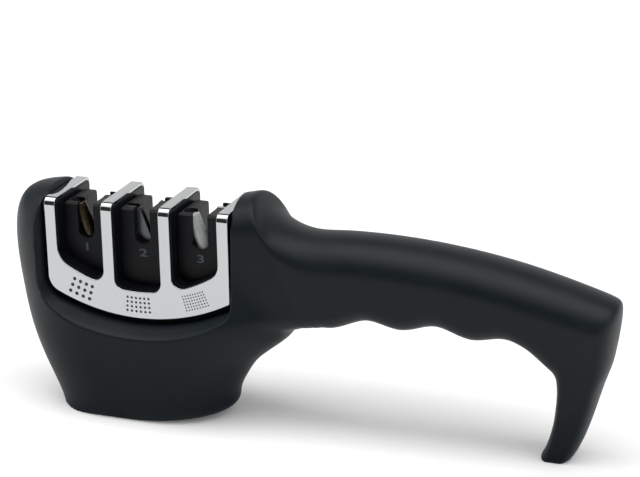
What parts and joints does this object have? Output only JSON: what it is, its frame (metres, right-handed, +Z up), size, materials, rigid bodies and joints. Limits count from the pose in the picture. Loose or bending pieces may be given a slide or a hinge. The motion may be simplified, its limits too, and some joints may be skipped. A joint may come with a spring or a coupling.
{
  "type": "manual knife sharpener",
  "caption": "Free-standing pull-through knife sharpener: rounded head with a chrome saddle of bays holding crossed rods or blades, arched finger grip and hooked rest.",
  "frame": {"origin": "on the table, under the head and within the foot pad", "axes": "+X towards the grip and hook, +Y towards the rear half (the front with the numerals faces -Y), +Z up"},
  "size_m": [0.2049, 0.04, 0.078],
  "materials": {
    "body": "satin moulded plastic with a soft-touch lacquer, charcoal",
    "cover": "polished chrome plating",
    "frame": "polished black ABS",
    "stage": "fine-grained black ABS",
    "plate": "plain black ABS",
    "foot": "matt black non-slip rubber",
    "screw": "zinc-plated steel",
    "diamond": "diamond-coated rod, bronze coloured and sparkling",
    "carbide": "ground tungsten carbide",
    "ceramic": "fine white ceramic"
  },
  "bodies": {
    "root": {"front_shell": "body", "rear_shell": "body", "base_plate": "plate", "foot_pad": "foot", "base_screws": "screw", "chrome_cover": "cover", "cassette_frame": "frame", "stage_1_front": "stage", "stage_1_rear": "stage", "stage_2_front": "stage", "stage_2_rear": "stage", "stage_3_front": "stage", "stage_3_rear": "stage", "diamond_rod_front": "diamond", "diamond_rod_rear": "diamond", "carbide_blade_front": "carbide", "carbide_blade_rear": "carbide", "ceramic_rod_front": "ceramic", "ceramic_rod_rear": "ceramic"}
  },
  "joints": []
}
